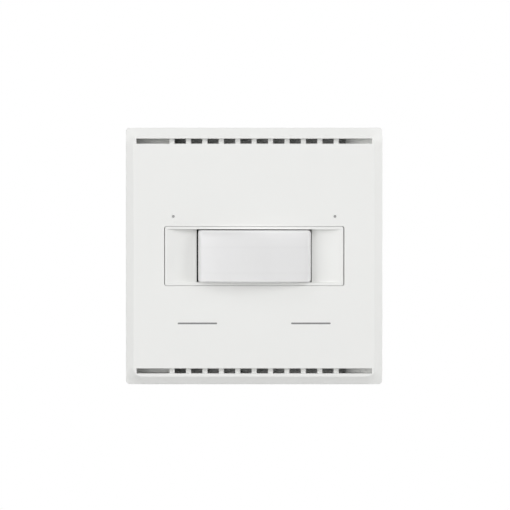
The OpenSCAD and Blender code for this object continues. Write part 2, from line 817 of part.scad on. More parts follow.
module bus_pin_base()
    color("black") upright() difference() {
        translate([0, terminal_y, 0])
            slab(2 * terminal_half - pole_width / 2, terminal_height / 2,
                pin_base_z, main_board_back_z);
        bus_pin_rods(bus_pin + 2 * pin_fit, pin_base_z - past, main_board_back_z + past);
    }

module bus_pins()
    color("gainsboro") upright() {
        tip = bus_pin / 2;
        bus_pin_rods(bus_pin, pin_base_z - bus_pin_length + tip, main_board_z + tail_length);
        translate([0, terminal_y, pin_base_z - bus_pin_length]) both_sides(pin_spacing / 2)
            cylinder(d1 = bus_pin / 2, d2 = bus_pin, h = tip);
    }

// Programming button: a small push switch whose button reaches the back of the box

module at_button() translate([-button_x, button_y, 0]) children();

module switch_base()
    color("black") upright() at_button() difference() {
        slab(switch_side, switch_side, switch_top_z, main_board_back_z);
        rod(button_collar + 2 * button_fit, switch_top_z - past,
            main_board_back_z - switch_floor);
    }

// Thin curved disc under the button, standing on its edge in the switch housing
module switch_dome()
    color("silver") upright() at_button() {
        foot_radius = button_collar / 2;
        ball = (pow(foot_radius, 2) + pow(dome_rise, 2)) / (2 * dome_rise);
        foot_z = main_board_back_z - switch_floor;
        intersection() {
            translate([0, 0, foot_z + ball - dome_rise]) difference() {
                sphere(ball);
                sphere(ball - dome_sheet);
            }
            rod(2 * ball, foot_z - dome_rise - past, foot_z);
        }
    }

module switch_plate_cover()
    color("silver") upright() at_button() difference() {
        slab(switch_side, switch_side, switch_top_z - switch_plate, switch_top_z);
        rod(button_diameter + 2 * button_fit, switch_top_z - switch_plate - past,
            switch_top_z + past);
    }

module programming_button()
    color("whitesmoke") upright() at_button() {
        rod(button_diameter, box_back_z + button_recess, switch_top_z);
        rod(button_collar, switch_top_z, switch_top_z + button_collar_height);
    }

module at_light() translate([button_x, button_y, 0]) children();

module programming_led()
    color("red") upright()
        component(led_size, button_x, button_y, main_board_back_z, -1);

module programming_light_guide()
    color("mistyrose") upright() at_light() {
        rod(rod_diameter, box_back_z + free_gap, main_board_back_z - led_size.z - light_gap);
        rod(rod_collar, box_floor_z, box_floor_z + rod_collar_height);
    }

// Rear housing: flange in the cover, box in the wall, latch arms and terminal well

module latch_arm()
    rotate([90, 0, 0]) linear_extrude(latch_width, center = true) {
        tip_z = flange_recess - latch_length;
        hook_z = -plate_grip;
        polygon([
            [-latch_thickness / 2, flange_front_z], [latch_thickness / 2, flange_front_z],
            [latch_thickness / 2, hook_z], [latch_thickness / 2 + latch_hook, hook_z - latch_hook / 2],
            [latch_thickness / 2 + latch_hook, hook_z - latch_hook],
            [latch_thickness / 4, tip_z], [-latch_thickness / 2, tip_z]
        ]);
    }

// Three-cornered rib between the flange and the upper or lower wall of the box
module housing_rib()
    along_x(rib_thickness) {
        wall = housing_side / 2 - housing_wall / 2;
        polygon([
            [wall, flange_front_z], [wall + housing_wall / 2 + rib_reach, flange_front_z],
            [wall + housing_wall / 2 + rib_reach, flange_recess], [wall + housing_wall / 2, -rib_length],
            [wall, -rib_length]
        ]);
    }

module housing_shell()
    difference() {
        union() {
            slab(flange_side, flange_side, flange_recess, flange_front_z);
            mirror([0, 0, 1]) bevelled_block(housing_side, housing_corner, -flange_front_z,
                housing_depth, housing_bevel, housing_bevel);
            four_corners(screw_pos, screw_pos)
                rod(boss_diameter, flange_recess, front_board_back_z);
            for (turn = [0, 180], side = [-1, 1])
                rotate([0, 0, turn]) translate([side * rib_x, 0, 0]) housing_rib();
        }
        rounded_slab(box_inside, box_inside, box_inner_corner, box_floor_z, flange_front_z + past);
    }

module rear_housing()
    color("dimgray") upright() difference() {
        union() {
            housing_shell();
            four_corners(peg_pos, peg_pos) {
                rod(peg_post, box_floor_z - housing_wall / 2, main_board_back_z);
                rod(peg_diameter, main_board_back_z - past, main_board_z + free_gap);
            }
            span(-well_half - terminal_well_wall, well_half + terminal_well_wall,
                -box_inside / 2 - housing_wall / 2, well_top + terminal_well_wall,
                box_floor_z - housing_wall / 2, main_board_back_z - free_gap);
            for (side = [0, 1], row = [-1, 1])
                mirror([side, 0, 0]) translate([latch_x, row * latch_y, 0]) latch_arm();
        }
        span(-well_half, well_half, -box_inside / 2, well_top,
            box_back_z - past, main_board_back_z);
        four_corners(screw_pos, screw_pos) {
            rod(screw_hole, flange_recess - past, front_board_back_z + past);
            rod(screw_head + 2 * head_fit, flange_recess - past, head_seat_z);
        }
        at_button() rod(button_diameter + 2 * button_fit, box_back_z - past, box_floor_z + past);
        at_light() rod(rod_diameter + 2 * pin_fit, box_back_z - past, box_floor_z + past);
    }

module housing_screws()
    color("silver") upright() four_corners(screw_pos, screw_pos) difference() {
        union() {
            rod(screw_core, head_seat_z, under_face_z - free_gap);
            rod(screw_head, head_seat_z - screw_head_height, head_seat_z);
        }
        for (turn = [0, 90]) rotate([0, 0, turn])
            slab(screw_slot, screw_slot_width, head_seat_z - screw_head_height - past,
                head_seat_z - screw_head_height + screw_slot_depth);
    }

// Plug-in bus terminal: two poles with four wire entries each

module terminal_pole(side)
    difference() {
        translate([side * pin_spacing / 2, terminal_y, 0])
            slab(pole_width, terminal_height, terminal_back_z, pin_base_z);
        translate([side * pin_spacing / 2, terminal_y, 0]) {
            rod(sleeve_hole, pin_base_z - bus_pin_length - free_gap, pin_base_z + past);
            four_corners(entry_spacing_x / 2, entry_spacing_y / 2) {
                rod(entry_diameter, terminal_back_z - past, terminal_back_z + entry_depth);
                translate([0, 0, terminal_back_z])
                    cylinder(d1 = entry_mouth, d2 = entry_diameter, h = entry_mouth_depth);
            }
            slab(test_slot_width, test_slot_height, terminal_back_z - past,
                terminal_back_z + test_slot_depth);
        }
    }

module bus_terminal_red() color("firebrick") upright() terminal_pole(1);

module bus_terminal_grey() color("darkslategray") upright() terminal_pole(-1);

module terminal_sleeves()
    color("gold") upright() difference() {
        bus_pin_rods(sleeve_diameter, pin_base_z - bus_pin_length - free_gap, pin_base_z);
        bus_pin_rods(bus_pin + 2 * pin_fit, pin_base_z - bus_pin_length - past, pin_base_z + past);
    }

front_cover();
lens_bezel();
lens_seal();
fresnel_lens();
pilot_light_guides();
touch_pads();
front_board();
pilot_leds();
touch_controller();
temperature_sensor();
board_socket();
main_board();
board_header();
header_pins();
sensor_spacer();
sensor_can();
sensor_filter();
sensor_leads();
brightness_sensor();
microcontroller();
bus_transceiver();
buffer_capacitors();
bus_pin_base();
bus_pins();
switch_base();
switch_dome();
switch_plate_cover();
programming_button();
programming_led();
programming_light_guide();
rear_housing();
housing_screws();
bus_terminal_red();
bus_terminal_grey();
terminal_sleeves();
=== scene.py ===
# %% [markdown]
# # A flush wall motion sensor with two touch fields
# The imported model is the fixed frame: every solid is already in its place, in
# metres, with X to the right, Z up and the face looking towards -Y. This lesson
# adds what the solids can't carry: the camera, the light, the finishes, the soft
# edges that every moulded piece has, the milky lens and the paint of the touch
# marks.

# %% Load the frame
import json
import math

import bpy
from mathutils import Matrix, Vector


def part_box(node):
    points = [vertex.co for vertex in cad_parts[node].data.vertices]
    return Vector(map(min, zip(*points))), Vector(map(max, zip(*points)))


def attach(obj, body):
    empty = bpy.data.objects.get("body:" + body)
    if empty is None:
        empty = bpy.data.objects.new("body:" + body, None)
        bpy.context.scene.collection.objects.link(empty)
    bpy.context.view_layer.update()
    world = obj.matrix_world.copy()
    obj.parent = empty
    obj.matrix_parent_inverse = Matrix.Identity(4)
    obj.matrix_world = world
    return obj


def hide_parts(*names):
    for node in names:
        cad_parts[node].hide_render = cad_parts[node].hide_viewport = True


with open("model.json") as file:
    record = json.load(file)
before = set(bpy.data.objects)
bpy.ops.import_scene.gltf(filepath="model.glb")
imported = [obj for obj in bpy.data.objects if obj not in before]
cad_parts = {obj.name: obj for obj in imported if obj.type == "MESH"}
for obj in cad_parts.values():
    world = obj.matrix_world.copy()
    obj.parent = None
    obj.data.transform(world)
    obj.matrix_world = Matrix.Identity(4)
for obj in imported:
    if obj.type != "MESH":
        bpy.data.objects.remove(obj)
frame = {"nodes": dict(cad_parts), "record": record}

MM = 0.001
WHITE = (1, 1, 1, 1)
scene = bpy.context.scene
nodes = frame["nodes"]
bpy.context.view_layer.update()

# %% [markdown]
# ## The camera
# The picture was taken from the front with a long lens: the cover, the bezel and
# the bulged lens all keep one scale. It is a little taller than wide, because the
# eye stood a hair above the middle and sees a sliver of the cover's upper side.
# A camera without perspective would give the same outline, but no real eye sees
# so, and the other views would look flat. The eye is set half a metre from the
# face, and its focal length follows from the width of the cover in the picture.
# Moving the eye a fraction of a millimetre aside puts the cover where the picture
# has it, with no shift of the film.

# %% Camera at the picture's angle
PICTURE_SIDE = 510                   # pixels, both ways
COVER_IN_PICTURE = 256.5             # width of the cover, in pixels
COVER_MIDDLE = (253.65, 255.63)      # its middle, in pixels from the upper left pixel
EYE_TO_FACE = 500 * MM
EYE_UP = math.radians(0.75)          # how steeply the eye looks down
BEVEL_DEPTH = 1.0 * MM               # the cover is widest this far behind its face
SENSOR_WIDTH = 36.0                  # of the camera's film, in millimetres
NEAREST_SEEN = 5 * MM

cover_low, cover_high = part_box("front_cover")
face_y = cover_low.y
cover_width = cover_high.x - cover_low.x
pixel = cover_width / COVER_IN_PICTURE
picture_middle = (PICTURE_SIDE - 1) / 2

eye = bpy.data.cameras.new("eye")
eye.sensor_width = SENSOR_WIDTH
eye.lens = SENSOR_WIDTH * (EYE_TO_FACE + BEVEL_DEPTH) / (PICTURE_SIDE * pixel)
eye.clip_start = NEAREST_SEEN
camera = bpy.data.objects.new("camera", eye)
aim = Vector(((picture_middle - COVER_MIDDLE[0]) * pixel, face_y,
              (COVER_MIDDLE[1] - picture_middle) * pixel))
camera.location = aim + EYE_TO_FACE * Vector((0, -math.cos(EYE_UP), math.sin(EYE_UP)))
camera.rotation_euler = (math.radians(90) - EYE_UP, 0, 0)
scene.collection.objects.link(camera)
scene.camera = camera
print("focal length in mm:", round(eye.lens, 1), "one pixel in mm:", round(pixel / MM, 4))

# %% [markdown]
# ## Helpers for node trees
# The light and every finish below are small trees of shader nodes. Each node could
# be added, set and linked in lines of its own, but then a tree is hard to read.
# These helpers take the numbers and the links together, so one line is one node.

# %% Node helpers
def put(tree, kind, values=None, **settings):
    """Adds a node and fills its inputs with numbers, colours or links."""
    made = tree.nodes.new("ShaderNode" + kind)
    for name, setting in settings.items():
        setattr(made, name, setting)
    for key, value in (values or {}).items():
        if isinstance(value, bpy.types.NodeSocket):
            tree.links.new(value, made.inputs[key])
        else:
            made.inputs[key].default_value = value
    return made


def calculate(tree, operation, *terms):
    """The result of an operation on numbers and links."""
    return put(tree, "Math", dict(enumerate(terms)), operation=operation).outputs[0]


def mix(tree, share, first, second):
    """Blends two shaders: the first where the share is 0, the second where it is 1."""
    return put(tree, "MixShader", {"Fac": share, 1: first.outputs[0], 2: second.outputs[0]})


print("node helpers:", [helper.__name__ for helper in (put, calculate, mix)])

# %% [markdown]
# ## Light and background
# A studio lights a white object with soft boxes in a pale room. The room is the
# world: white where the camera, a mirror or glass looks at it, and a soft grey
# where it lights the object. Point lamps would give hard shadows, so each lamp is a
# square panel aimed at the sensor. The panels above draw the soft shadow below the
# lens. Those on the left brighten its left shoulder, and those on the right keep
# the right bevel light. The one in front looks into the vent slots, where the
# others hardly reach, and stands a little to the left, so that its gloss lies off
# the middle of the lens. Two panels behind light the side that the picture doesn't
# show.

# %% World: white to look at, soft as a light
ROOM_LIGHT = 0.275


def looked_at(tree):
    """1 for rays from the camera, from a mirror or through glass, and 0 for other rays."""
    ray = put(tree, "LightPath").outputs
    through = calculate(tree, "MAXIMUM", ray["Is Glossy Ray"], ray["Is Transmission Ray"])
    return calculate(tree, "MAXIMUM", ray["Is Camera Ray"], through)


world = bpy.data.worlds.new("pale_room")
scene.world = world
world.use_nodes = True
room = world.node_tree
room.nodes.clear()
as_light = put(room, "Background", {"Color": WHITE, "Strength": ROOM_LIGHT})
as_seen = put(room, "Background", {"Color": WHITE, "Strength": 1.0})
either = mix(room, looked_at(room), as_light, as_seen)
put(room, "OutputWorld", {"Surface": either.outputs[0]})
print("room light:", ROOM_LIGHT)

# %% Soft boxes
LAMP_DISTANCE = 0.9
LAMPS = {
    # name: degrees to the right, degrees up, side of the panel in metres, power in watts
    "front": (-10, 0, 0.3, 0.54),
    "left_front": (-33, 5, 0.3, 1.27),
    "left": (-60, 10, 0.3, 1.0),
    "upper_left": (-60, 45, 0.3, 1.16),
    "right_front": (18, 8, 0.3, 0.56),
    "top": (12, 30, 0.45, 1.58),
    "right": (60, 28, 0.3, 1.85),
    "right_edge": (85, -25, 0.3, 2.3),
    "back_left": (-150, 6, 0.45, 1.9),
    "back_right": (140, 2, 0.45, 1.2),
}
target = Vector((0, face_y, 0))
for name, (aside, up, side, watts) in LAMPS.items():
    aside, up = math.radians(aside), math.radians(up)
    outward = Vector((math.sin(aside) * math.cos(up), -math.cos(aside) * math.cos(up),
                      math.sin(up)))
    panel = bpy.data.lights.new(name, "AREA")
    panel.shape = "SQUARE"
    panel.size = side
    panel.energy = watts
    lamp = bpy.data.objects.new(name, panel)
    lamp.location = target + outward * LAMP_DISTANCE
    lamp.rotation_euler = (-outward).to_track_quat("-Z", "Y").to_euler()
    scene.collection.objects.link(lamp)
print("lamps:", len(LAMPS))

# %% [markdown]
# ## The floor
# The sensor belongs on a wall, and the picture shows it with nothing round it. A
# pale round floor well below it catches its shadow, and lies outside the picture
# when it is seen from the front. A box-shaped studio would show its corners in the
# other views. Towards its rim this floor turns into the white of the room instead,
# so that no edge shows, and from below it can be looked through.

# %% Floor disc
FLOOR_LEVEL = -150 * MM
FLOOR_RADIUS = 300 * MM
RIM_POINTS = 96

turns = [2 * math.pi * i / RIM_POINTS for i in range(RIM_POINTS)]
rim = [(FLOOR_RADIUS * math.cos(a), FLOOR_RADIUS * math.sin(a), 0) for a in turns]
floor_mesh = bpy.data.meshes.new("floor")
floor_mesh.from_pydata(rim, [], [list(range(RIM_POINTS))])
floor = bpy.data.objects.new("floor", floor_mesh)
floor.location.z = FLOOR_LEVEL
scene.collection.objects.link(floor)
print("floor below the sensor in mm:", round(-FLOOR_LEVEL / MM))

# %% Floor finish
FLOOR_COLOUR = (0.68, 0.68, 0.68, 1)
FLOOR_GLOW = 0.52
FADE_FROM = 0.7                      # share of the radius where it starts to turn white

floor_paint = bpy.data.materials.new("pale_floor")
floor_paint.use_nodes = True
tree = floor_paint.node_tree
tree.nodes.clear()
seen = looked_at(tree)
matt = put(tree, "BsdfDiffuse", {"Color": FLOOR_COLOUR})
glow = put(tree, "Emission", {"Color": WHITE,
                              "Strength": calculate(tree, "MULTIPLY", seen, FLOOR_GLOW)})
both = put(tree, "AddShader", {0: matt.outputs[0], 1: glow.outputs[0]})
rim_white = put(tree, "Emission", {"Color": WHITE, "Strength": seen})
place = put(tree, "TexCoord").outputs["Object"]
from_middle = put(tree, "VectorMath", {0: place}, operation="LENGTH").outputs["Value"]
fade = put(tree, "MapRange", {"Value": from_middle, "From Min": FLOOR_RADIUS * FADE_FROM,
                              "From Max": FLOOR_RADIUS}, interpolation_type="SMOOTHSTEP")
from_above = mix(tree, fade.outputs[0], both, rim_white)
below = put(tree, "NewGeometry").outputs["Backfacing"]
one_sided = mix(tree, below, from_above, put(tree, "BsdfTransparent"))
put(tree, "OutputMaterial", {"Surface": one_sided.outputs[0]})
floor_mesh.materials.append(floor_paint)
print("floor finish:", floor_paint.name)

# %% [markdown]
# ## Shared effects
# A real finish is never one flat colour: a moulding has the grain of its mould and
# slight clouds, plated metal has streaks from drawing, foam has pores, and a board
# has tracks under its lacquer. Each could be painted into every material by hand.
# They are node groups instead, built once, which give out a colour, a roughness and
# a height, and each material sets its own values.

# %% Group helpers
NUMBER, COLOUR = "NodeSocketFloat", "NodeSocketColor"
INPUTS = {"Colour": COLOUR, "Roughness": NUMBER, "Grain": NUMBER, "Cloud": NUMBER}
OUTPUTS = {"Colour": COLOUR, "Roughness": NUMBER, "Height": NUMBER}


def new_effect(name):
    """An empty effect: the group, what comes in, and the place on the piece."""
    group = bpy.data.node_groups.new(name, "ShaderNodeTree")
    for way, sockets in (("INPUT", INPUTS), ("OUTPUT", OUTPUTS)):
        for label, kind in sockets.items():
            group.interface.new_socket(label, in_out=way, socket_type=kind)
    place = put(group, "TexCoord").outputs["Object"]
    return group, group.nodes.new("NodeGroupInput").outputs, place


def about_one(group, pattern, share):
    """Turns a pattern from 0 to 1 into a factor that swings about 1 by the given share."""
    centred = calculate(group, "SUBTRACT", pattern, 0.5)
    return calculate(group, "MULTIPLY_ADD", centred, share, 1.0)


def scaled(tree, vector, factor):
    """A colour or place times a number."""
    return put(tree, "VectorMath", {0: vector, "Scale": factor},
               operation="SCALE").outputs["Vector"]


def give_out(group, given, stains, wear, wear_share, height):
    """Links the results: colour that varies with the stains, roughness with the wear."""
    colour = scaled(group, given["Colour"], about_one(group, stains, given["Cloud"]))
    roughness = calculate(group, "MULTIPLY", given["Roughness"],
                          about_one(group, wear, wear_share))
    way_out = group.nodes.new("NodeGroupOutput")
    for label, result in zip(OUTPUTS, (colour, roughness, height)):
        group.links.new(result, way_out.inputs[label])
    print("group:", group.name)


def noise(group, place, scale, detail):
    """A soft uneven pattern from 0 to 1."""
    return put(group, "TexNoise",
               {"Vector": place, "Scale": scale, "Detail": detail}).outputs["Fac"]


print("every effect takes", list(INPUTS), "and gives", list(OUTPUTS))

# %% Group: moulded grain
GRAIN_DETAIL, CLOUD_DETAIL = 3.0, 2.0
CLOUDS_PER_METRE = 110.0
CLOUD_WEAR = 0.3                     # how much of the roughness comes and goes with the clouds

moulded_grain, given, place = new_effect("moulded_grain")
fine = noise(moulded_grain, place, given["Grain"], GRAIN_DETAIL)
cloud = noise(moulded_grain, place, CLOUDS_PER_METRE, CLOUD_DETAIL)
give_out(moulded_grain, given, cloud, cloud, CLOUD_WEAR, fine)

# %% Group: drawn and plated metal
STREAK_STRETCH = (1.0, 0.04, 1.0)    # streaks run along Y, the way pins and cans are drawn
STREAK_DETAIL, STAIN_DETAIL = 4.0, 3.0
STAINS_PER_METRE = 600.0
STREAK_WEAR = 0.8

plated_streaks, given, place = new_effect("plated_streaks")
drawn = put(plated_streaks, "Mapping", {"Vector": place, "Scale": STREAK_STRETCH})
streak = noise(plated_streaks, drawn.outputs["Vector"], given["Grain"], STREAK_DETAIL)
stain = noise(plated_streaks, place, STAINS_PER_METRE, STAIN_DETAIL)
give_out(plated_streaks, given, stain, streak, STREAK_WEAR, streak)

# %% Group: foam pores
PORE_EDGE = 0.6                      # from a pore's middle to its rim, as a share of the grain
PORE_WEAR = 0.1

foam_pores, given, place = new_effect("foam_pores")
pores = put(foam_pores, "TexVoronoi", {"Vector": place, "Scale": given["Grain"]})
depth = put(foam_pores, "MapRange", {"Value": pores.outputs["Distance"],
                                     "From Max": PORE_EDGE}).outputs[0]
give_out(foam_pores, given, depth, depth, PORE_WEAR, depth)

# %% Group: tracks under the lacquer of a board
TRACK_WIDTH = 0.06                   # as a share of the grain
DARK_FIELD, LIGHT_FIELD = (0, 0, 0, 1), (0.2, 0.2, 0.2, 1)
TRACK_WEAR = 0.3

board_tracks, given, place = new_effect("board_tracks")
axes = put(board_tracks, "SeparateXYZ", {0: place}).outputs
on_board = put(board_tracks, "CombineXYZ", {"X": axes["X"], "Y": axes["Z"]}).outputs[0]
tracks = put(board_tracks, "TexBrick", {
    "Vector": on_board, "Scale": given["Grain"], "Mortar Size": TRACK_WIDTH,
    "Color1": DARK_FIELD, "Color2": LIGHT_FIELD, "Mortar": WHITE}).outputs
give_out(board_tracks, given, tracks["Color"], tracks["Fac"], TRACK_WEAR, tracks["Fac"])

# %% [markdown]
# ## Finishes
# The cover and the bezel are satin white, from the same batch. The housing in the
# wall is a light grey with the coarser grain of a spark-eroded mould, and the poles
# of the terminal are glossier. The screws, the sensor's can and the snap dome are
# steel, the pins are gilt, and the seal and the touch pads are foam. Each material
# could be laid out by hand in the shader editor. All of them are made by one
# function here, because they differ only in the effect and its values.

# %% A finish from a shared effect
finishes = {}


def finish(slot, effect, colour, roughness, grain_size, cloud_share, relief, **plain):
    """Makes the material of a slot. grain_size and relief are in millimetres."""
    material = bpy.data.materials.new(slot)
    material.use_nodes = True
    tree = material.node_tree
    shader = tree.nodes["Principled BSDF"]
    made = put(tree, "Group", {"Colour": (*colour, 1), "Roughness": roughness,
                               "Grain": 1 / (grain_size * MM), "Cloud": cloud_share},
               node_tree=effect).outputs
    bump = put(tree, "Bump", {"Distance": relief * MM, "Height": made["Height"]})
    tree.links.new(made["Colour"], shader.inputs["Base Color"])
    tree.links.new(made["Roughness"], shader.inputs["Roughness"])
    tree.links.new(bump.outputs["Normal"], shader.inputs["Normal"])
    for label, value in plain.items():
        shader.inputs[label.replace("_", " ")].default_value = value
    finishes[slot] = material
    return material


effects = (moulded_grain, plated_streaks, foam_pores, board_tracks)
print("effects for the finishes:", [effect.name for effect in effects])

# %% Moulded plastics
COVER_LOOK = ((0.835, 0.838, 0.822), 0.42, 0.12, 0.02, 0.004)
PLASTICS = {
    # slot: colour, roughness, size of the grain, share of the clouds, depth of the grain
    "cover_white": COVER_LOOK,
    "bezel_white": COVER_LOOK,
    "button_white": ((0.75, 0.75, 0.74), 0.38, 0.12, 0.03, 0.004),
    "housing_grey": ((0.68, 0.68, 0.67), 0.5, 0.5, 0.12, 0.2),
    "connector_black": ((0.02, 0.021, 0.023), 0.5, 0.2, 0.2, 0.02),
    "chip_black": ((0.02, 0.02, 0.022), 0.6, 0.1, 0.15, 0.01),
    "terminal_red": ((0.48, 0.02, 0.025), 0.3, 0.15, 0.06, 0.006),
    "terminal_grey": ((0.06, 0.065, 0.075), 0.3, 0.15, 0.06, 0.006),
    "led_white": ((0.75, 0.72, 0.6), 0.2, 0.2, 0.03, 0.002),
    "led_red": ((0.5, 0.02, 0.02), 0.2, 0.2, 0.03, 0.002),
    # the clear guides get an opaque grey: painted shade of the dark inside seen through them
    "guide_clear": ((0.33, 0.33, 0.33), 0.3, 0.3, 0.02, 0.001),
    "filter_dark": ((0.03, 0.035, 0.045), 0.12, 0.3, 0.1, 0.001),
}
POLISHED = {"led_white": 0.5, "led_red": 0.5, "filter_dark": 1.0}

for slot, look in PLASTICS.items():
    finish(slot, moulded_grain, *look, Coat_Weight=POLISHED.get(slot, 0.0))
print("plastics:", len(PLASTICS))

# %% Metals
METALS = {
    # slot: colour, roughness, width of the streaks, share of the stains, depth of the streaks
    "steel": ((0.6, 0.6, 0.6), 0.32, 0.15, 0.15, 0.002),
    "pin_gold": ((0.75, 0.58, 0.3), 0.28, 0.12, 0.12, 0.002),
    "capacitor_aluminium": ((0.65, 0.66, 0.68), 0.4, 0.2, 0.1, 0.002),
}

for slot, look in METALS.items():
    finish(slot, plated_streaks, *look, Metallic=1.0)
print("metals:", len(METALS))

# %% Foam and boards
FOAMS = {
    # slot: colour, roughness, size of the pores, darkness of the pores, depth of the pores
    "foam_grey": ((0.08, 0.08, 0.085), 0.9, 0.3, 0.9, 0.1),
    "seal_black": ((0.02, 0.02, 0.02), 0.9, 0.2, 0.9, 0.05),
}
# colour, roughness, distance of the tracks, how much they show, and their thickness
BOARD_LOOK = ((0.015, 0.09, 0.045), 0.35, 1.4, 0.8, 0.03)
LACQUER = 0.4

for slot, look in FOAMS.items():
    finish(slot, foam_pores, *look)
finish("board_green", board_tracks, *BOARD_LOOK, Coat_Weight=LACQUER)
print("finishes so far:", len(finishes))

# %% [markdown]
# ## The milk of the lens
# The lens is pressed from milky polyethylene, thin enough to let warmth through.
# Light spreads inside it, and where two rows of rings meet the wall is thinner and
# the shade of the groove behind shows as a faint line. The lines could be cut into the
# outer skin, but the real one is smooth, so the colour has them as painted shade: two
# soft darker bands across the lens at the height of the grooves.

# %% Milk
MILK_LOOK = ((0.773, 0.773, 0.771), 0.3, 0.12, 0.01, 0.002)    # in the order of the plastics
MILK_GLOSS = 0.75
SPREAD_SHARE, SPREAD_DEPTH = 0.5, 1.2 * MM
SPREAD_TINT = (1.0, 1.0, 0.95)       # blue light doesn't go quite as deep

milk = finish("lens_milk", moulded_grain, *MILK_LOOK, Specular_IOR_Level=MILK_GLOSS,
              Subsurface_Weight=SPREAD_SHARE, Subsurface_Radius=SPREAD_TINT,
              Subsurface_Scale=SPREAD_DEPTH).node_tree
print("light spreads in the lens, in mm:", SPREAD_DEPTH / MM)

# %% Painted shade of the grooves across the lens
ROW_LINES = (-3.6, 1.9)              # where the rows of rings meet, in millimetres
LINE_REACH = 0.5                     # half the width of a band, in millimetres
LINE_SHADE = 0.985

level = put(milk, "SeparateXYZ", {0: put(milk, "TexCoord").outputs["Object"]}).outputs["Z"]
shade = 1.0
# Each band darkens the milk's colour a little: painted shade of the grooves inside.
for line in ROW_LINES:
    off_line = calculate(milk, "ABSOLUTE", calculate(milk, "SUBTRACT", level, line * MM))
    groove_shade_band = put(milk, "MapRange", {"Value": off_line, "From Max": LINE_REACH * MM,
                                  "To Min": LINE_SHADE}, interpolation_type="SMOOTHSTEP")
    shade = calculate(milk, "MULTIPLY", shade, groove_shade_band.outputs[0])
milk_colour = milk.nodes["Principled BSDF"].inputs["Base Color"]
milk.links.new(scaled(milk, milk_colour.links[0].from_socket, shade), milk_colour)
print("lines across the lens:", len(ROW_LINES))

# %% [markdown]
# ## A finish for every solid
# The record names a slot for each solid's finish. The solids could be listed here
# once more, but a list can miss one, so the record itself is gone through.

# %% Finishes on the solids
for row in frame["record"]["subparts"]:
    nodes[row["node"]].material_slots[0].material = finishes[row["material_slot"]]

# %% [markdown]
# ## Soft edges
# No mould gives a perfectly sharp edge, and the thin line of light along an edge
# is what makes a moulded piece look real. The roundings could be cut into the
# meshes, but the solids keep theirs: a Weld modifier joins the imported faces, a
# planar dissolve clears the triangles from the flat faces, and a Bevel rounds what
# is left, only where faces meet at an angle.

# %% Rounded edges on the solids
EDGE_ROUNDINGS = {           # millimetres
    "front_cover": 0.06, "lens_bezel": 0.06, "rear_housing": 0.15,
    "bus_terminal_red": 0.15, "bus_terminal_grey": 0.15, "housing_screws": 0.1,
    "programming_button": 0.2, "programming_light_guide": 0.2, "sensor_can": 0.15,
}
JOINED_WITHIN = 0.001 * MM
FLAT_WITHIN = math.radians(0.4)
SHARP_ABOVE = math.radians(28)
ROUNDING_STEPS = 2


def soften(node, rounding):
    """Rounds the sharp edges of a solid with modifiers, and leaves its mesh as it is."""
    weld = node.modifiers.new("weld", "WELD")
    weld.merge_threshold = JOINED_WITHIN
    flat = node.modifiers.new("flat_faces", "DECIMATE")
    flat.decimate_type = "DISSOLVE"
    flat.angle_limit = FLAT_WITHIN
    edge = node.modifiers.new("soft_edge", "BEVEL")
    edge.offset_type = "WIDTH"
    edge.width = rounding * MM
    edge.segments = ROUNDING_STEPS
    edge.limit_method = "ANGLE"
    edge.angle_limit = SHARP_ABOVE
    edge.use_clamp_overlap = False
    edge.loop_slide = False
    edge.harden_normals = True


for name, rounding in EDGE_ROUNDINGS.items():
    soften(nodes[name], rounding)
print("softened:", len(EDGE_ROUNDINGS))

# %% [markdown]
# ## The lens
# The lens is a thin shell, pressed in one piece: a broad curve that runs into tight
# shoulders, with rounded edges, and fine rings inside that gather the warmth of
# what moves in the room. The solid has sharp edges and wider shoulders, so a finer
# shell takes its place. It could be sculpted from a box with subdivision, but then
# the radii would be guesses. Here each point is laid out from the curve's own
# centre and radius, so that the outer skin, the rounded edges and the ringed inner
# skin are the same arch with different insets.

# %% Lens sizes that the solid has too, in millimetres
LENS_WIDTH, LENS_HEIGHT = 24.2, 11.1
LENS_TOP = 12.1                      # in front of the cover's rear rim
LENS_FOOT = 4.9
LENS_CURVE = 45.0
LENS_WALL = 0.6
SETTLE_SIDE, SETTLE_DOWN = 0.08, 0.03    # how far it lies off the middle of its opening
FLANGE_REACH, FLANGE_TOP = 0.8, 5.4
SEGMENT_COLUMNS = 5
RING_PITCH, RING_DEPTH = 0.5, 0.1
GROOVE_WIDTH, GROOVE_DEPTH = 0.2, 0.15

half_height, inner_half = LENS_HEIGHT / 2, LENS_HEIGHT / 2 - LENS_WALL
curve_middle = LENS_TOP - LENS_CURVE
print("lens in mm:", LENS_WIDTH, "by", LENS_HEIGHT, "wall:", LENS_WALL)

# %% Lens sizes of the finer shell, in millimetres
LENS_SHOULDER = 1.2                  # the solid's shoulders are wider, 2 mm
LENS_EDGES = ((3.0, 0.5), (0.3, 0.25))    # height and inset of the upper and lower rounding
LENS_CORNER = 0.55                   # radius of its four corners, seen from the front
SIDE_DRAFT = 0.045                   # how much the sides lean in, so that it leaves its mould

shoulder_x = LENS_WIDTH / 2 - LENS_SHOULDER
shoulder_z = curve_middle + math.sqrt((LENS_CURVE - LENS_SHOULDER) ** 2 - shoulder_x ** 2)
lean = math.asin(shoulder_x / (LENS_CURVE - LENS_SHOULDER))
print("middle of a shoulder in mm:", round(shoulder_x, 2), round(shoulder_z, 2))

# %% The arch of the lens
OUTER_STEPS = (6, 10, 64)            # points up a side, round a shoulder, along the broad curve
INNER_STEPS = (6, 6, 170)            # finer along the curve, because of the rings


def arch(side_steps, shoulder_steps, broad_steps):
    """The lens from foot to foot: for each point its centre, its direction and its radius."""
    half = []
    for i in range(side_steps):
        half.append((-shoulder_x, LENS_FOOT + (shoulder_z - LENS_FOOT) * i / side_steps,
                     -math.pi / 2, LENS_SHOULDER))
    for i in range(shoulder_steps):
        turn = (math.pi / 2 - lean) * i / shoulder_steps
        half.append((-shoulder_x, shoulder_z, turn - math.pi / 2, LENS_SHOULDER))
    broad = [(0, curve_middle, lean * (2 * i / broad_steps - 1), LENS_CURVE)
             for i in range(broad_steps + 1)]
    return half + broad + [(-x, z, -angle, r) for x, z, angle, r in reversed(half)]


